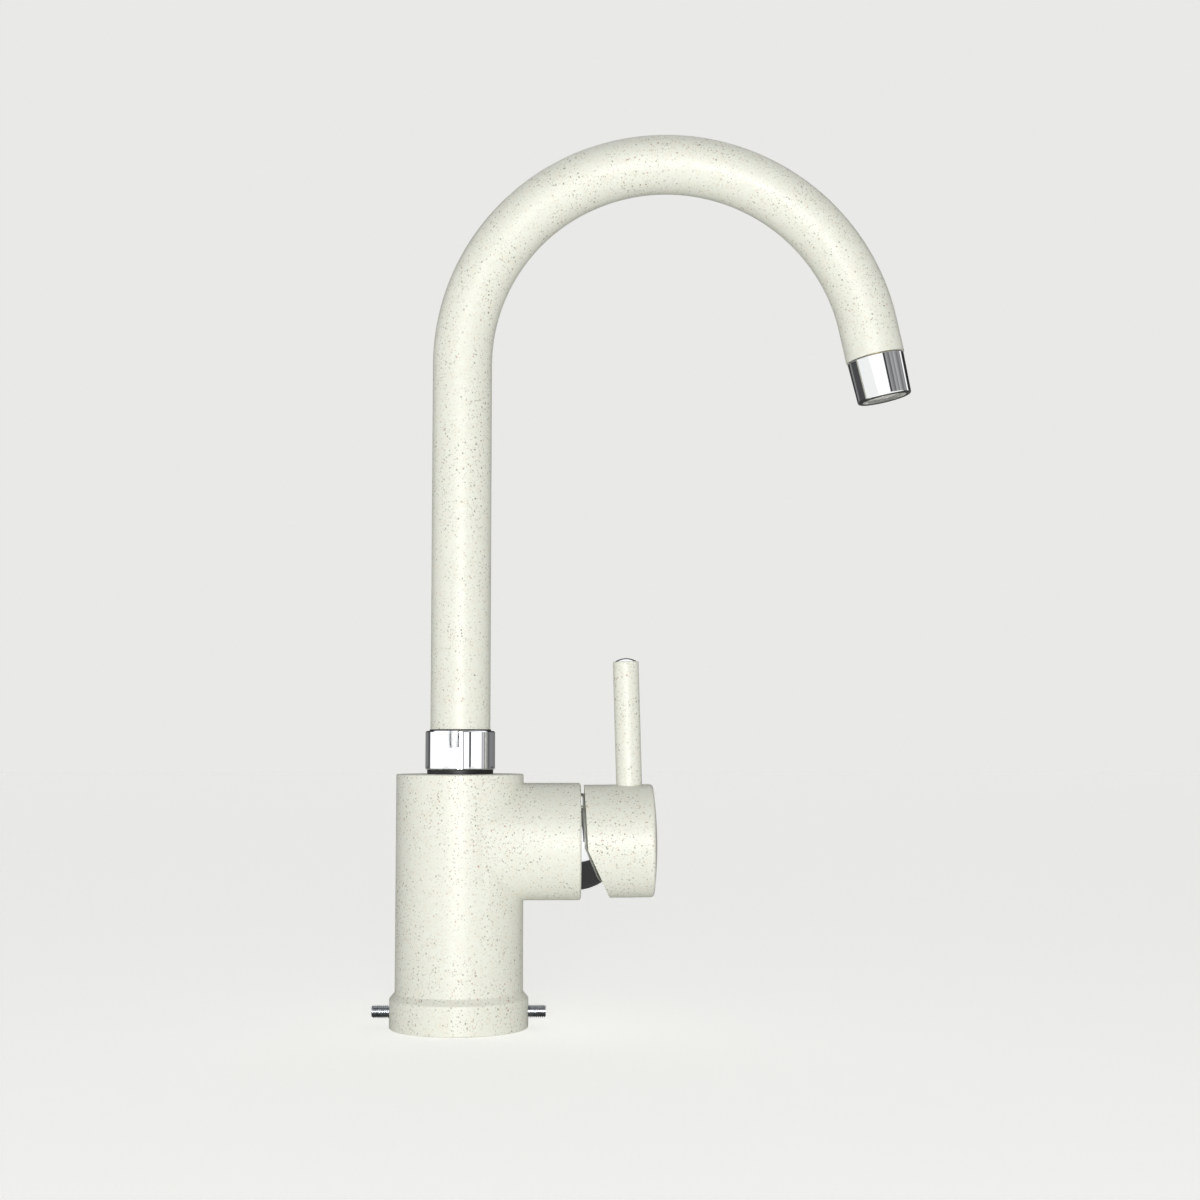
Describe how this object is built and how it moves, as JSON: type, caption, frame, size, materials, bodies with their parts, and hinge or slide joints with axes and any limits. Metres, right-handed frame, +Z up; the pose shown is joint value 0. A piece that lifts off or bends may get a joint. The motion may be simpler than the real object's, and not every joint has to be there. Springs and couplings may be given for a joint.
{
  "type": "kitchen mixer tap",
  "caption": "Single-lever kitchen mixer tap: round body, side branch with a tipping and turning handle, and a swivelling gooseneck spout with an aerator.",
  "frame": {"origin": "centre of the round base, on the worktop", "axes": "+Z up along the body and the spout's swivel axis; +X along the side branch towards the handle, with the spout arching above it at rest; -Y towards the front"},
  "size_m": [0.2142, 0.0542, 0.3561],
  "materials": {
    "speckled_coating": "satin cream-white coating with fine grey and brown specks",
    "chrome": "polished",
    "zinc_steel": "zinc-plated",
    "raw_brass": "machined",
    "black_rubber": "matte",
    "black_plastic": "matte",
    "white_plastic": "moulded",
    "grey_plastic": "moulded",
    "white_ceramic": "ground"
  },
  "bodies": {
    "base": {"body_casting": "speckled_coating", "mounting_base": "raw_brass", "base_seal": "black_rubber", "lock_screws": "zinc_steel", "spout_washer": "black_plastic", "spout_nut": "chrome", "spout_slip_ring": "white_plastic", "cartridge_base": "grey_plastic", "port_seals": "black_rubber", "fixed_disc": "white_ceramic", "cartridge_housing": "grey_plastic", "cartridge_nut": "raw_brass", "dome_cover": "chrome"},
    "spout": {"spout_tube": "speckled_coating", "spout_stem": "raw_brass", "spout_seals": "black_rubber", "spout_clip": "zinc_steel", "outlet_socket": "raw_brass", "aerator_housing": "chrome", "aerator_washer": "black_rubber", "aerator_insert": "white_plastic"},
    "turret": {"cartridge_rotor": "grey_plastic", "pivot_pin": "zinc_steel"},
    "flow_disc": {"moving_disc": "white_ceramic", "disc_driver": "grey_plastic"},
    "handle": {"spindle": "raw_brass", "handle_cap": "speckled_coating", "lever_rod": "speckled_coating", "lever_stud": "zinc_steel", "lever_end_plug": "chrome", "set_screw": "zinc_steel", "index_plug": "grey_plastic"}
  },
  "joints": [
    {"name": "spout_swivel", "type": "hinge", "parent": "base", "child": "spout", "pos_m": [0, 0, 0.1], "axis": [0, 0, 1], "continuous": true},
    {"name": "temperature_turn", "type": "hinge", "parent": "base", "child": "turret", "pos_m": [0.0454, 0, 0.0721], "axis": [1, 0, 0], "range_deg": [-50, 50]},
    {"name": "flow_lift", "type": "hinge", "parent": "turret", "child": "handle", "pos_m": [0.0454, 0, 0.0721], "axis": [0, 1, 0], "range_deg": [0, 25]},
    {"name": "disc_slide", "type": "slide", "parent": "turret", "child": "flow_disc", "axis": [0, 0, 1], "range_m": [0, 0.0039]}
  ],
  "couplings": [
    {"joint": "disc_slide", "follows": "flow_lift", "m_per_rad": 0.00875}
  ]
}
